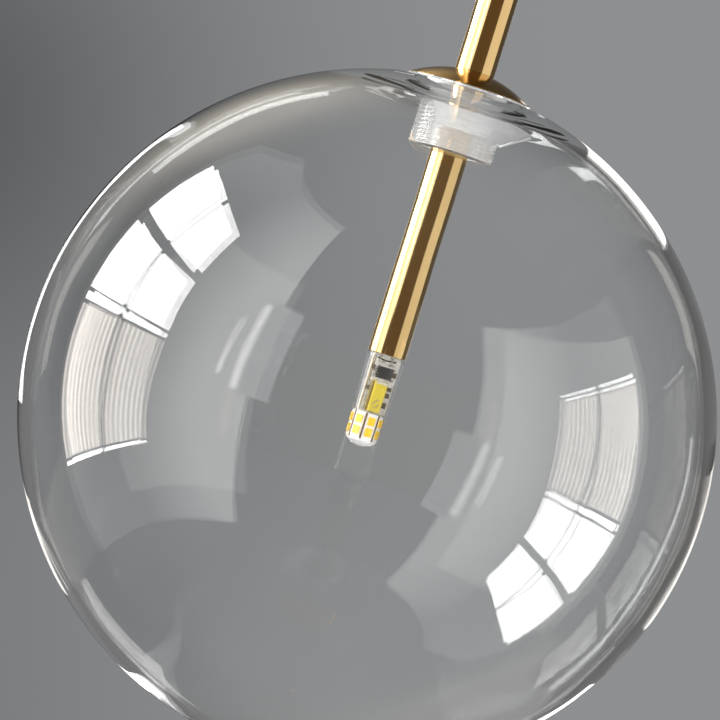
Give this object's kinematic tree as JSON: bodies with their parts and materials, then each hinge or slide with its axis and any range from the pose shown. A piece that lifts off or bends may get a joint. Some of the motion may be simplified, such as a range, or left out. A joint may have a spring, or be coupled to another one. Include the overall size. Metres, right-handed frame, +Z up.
{
  "type": "pendant ceiling light",
  "caption": "Clear glass globe pendant on a brass rod that passes through the globe's neck and holds a small capsule lamp; ceiling cover, swivel and tilting knuckle on top.",
  "frame": {"origin": "centre of the ceiling plate's top face, on the rod's axis, where it lies on the ceiling", "axes": "+Z up along the rod, towards the ceiling; +X through the two ceiling screw slots and the cover's side screws; the knuckle tilts about Y"},
  "size_m": [0.2999, 0.3, 0.5732],
  "materials": {
    "polished_brass": "drawn tube, polished with fine lengthwise brushing, lacquered",
    "satin_brass": "turned and satin brushed round the axis, lacquered",
    "raw_brass": "as machined, unlacquered",
    "clear_glass": "clear blown glass, flat ground and polished at the neck",
    "clear_acrylic": null,
    "clear_silicone": null,
    "lamp_silicone": null,
    "zinc_steel": "bright zinc plating",
    "tinned_copper": null,
    "white_plastic": "moulded, fine matte",
    "nylon": "natural nylon",
    "ceramic": null,
    "green_yellow_lead": "insulation",
    "brown_lead": "insulation",
    "clear_lead": "insulation",
    "emitter_white": "white solder mask",
    "led_phosphor": "yellow phosphor under clear resin",
    "seam_brown": "bare board edge",
    "board_gold": "bare glass-fibre board with gilt pads",
    "chip_black": "moulded package",
    "inductor_gold": "dipped olive-gold coating",
    "small_parts_dark": "small dark components"
  },
  "bodies": {
    "ceiling": {"ceiling_plate": "zinc_steel", "canopy": "satin_brass", "canopy_screws": "satin_brass", "terminal_block": "white_plastic", "terminal_inserts": "raw_brass", "terminal_screws": "zinc_steel", "plate_screws": "zinc_steel", "driver_case": "white_plastic", "driver_lid": "white_plastic", "earth_screw": "raw_brass", "earth_lug": "tinned_copper", "earth_lead": "green_yellow_lead", "primary_leads": "brown_lead", "supply_leads": "clear_lead", "canopy_nipple": "zinc_steel", "canopy_nut": "zinc_steel", "canopy_washer": "zinc_steel", "swivel_cup": "satin_brass", "swivel_ring": "satin_brass", "thrust_washer": "nylon", "stop_screw": "zinc_steel"},
    "yoke": {"swivel_fork": "satin_brass", "pivot_screws": "satin_brass", "fork_leads": "clear_lead"},
    "rod": {"knuckle": "satin_brass", "upper_tube": "polished_brass", "upper_tube_plug": "raw_brass", "joint_nipple": "zinc_steel", "dome": "satin_brass", "dome_gasket": "clear_silicone", "threaded_sleeve": "clear_acrylic", "ring_gasket": "clear_silicone", "retaining_ring": "clear_acrylic", "globe": "clear_glass", "lower_tube_plug": "raw_brass", "lower_tube": "polished_brass", "lampholder": "ceramic", "lampholder_contacts": "tinned_copper", "lampholder_clip": "zinc_steel", "rod_leads": "clear_lead"},
    "lamp": {"lamp_capsule": "lamp_silicone", "lamp_emitter": "emitter_white", "lamp_leds": "led_phosphor", "lamp_seams": "seam_brown", "lamp_board": "board_gold", "lamp_chip": "chip_black", "lamp_inductor": "inductor_gold", "lamp_small_parts": "small_parts_dark", "lamp_pins": "zinc_steel"}
  },
  "joints": [
    {"name": "swivel", "type": "hinge", "parent": "ceiling", "child": "yoke", "pos_m": [0, 0, -0.0558], "axis": [0, 0, 1], "range_deg": [-155, 155]},
    {"name": "tilt", "type": "hinge", "parent": "yoke", "child": "rod", "pos_m": [0, 0, -0.0558], "axis": [0, 1, 0], "range_deg": [-40, 40]},
    {"name": "lamp_pull", "type": "slide", "parent": "rod", "child": "lamp", "axis": [0, 0, -1], "range_m": [0, 0.03]}
  ]
}
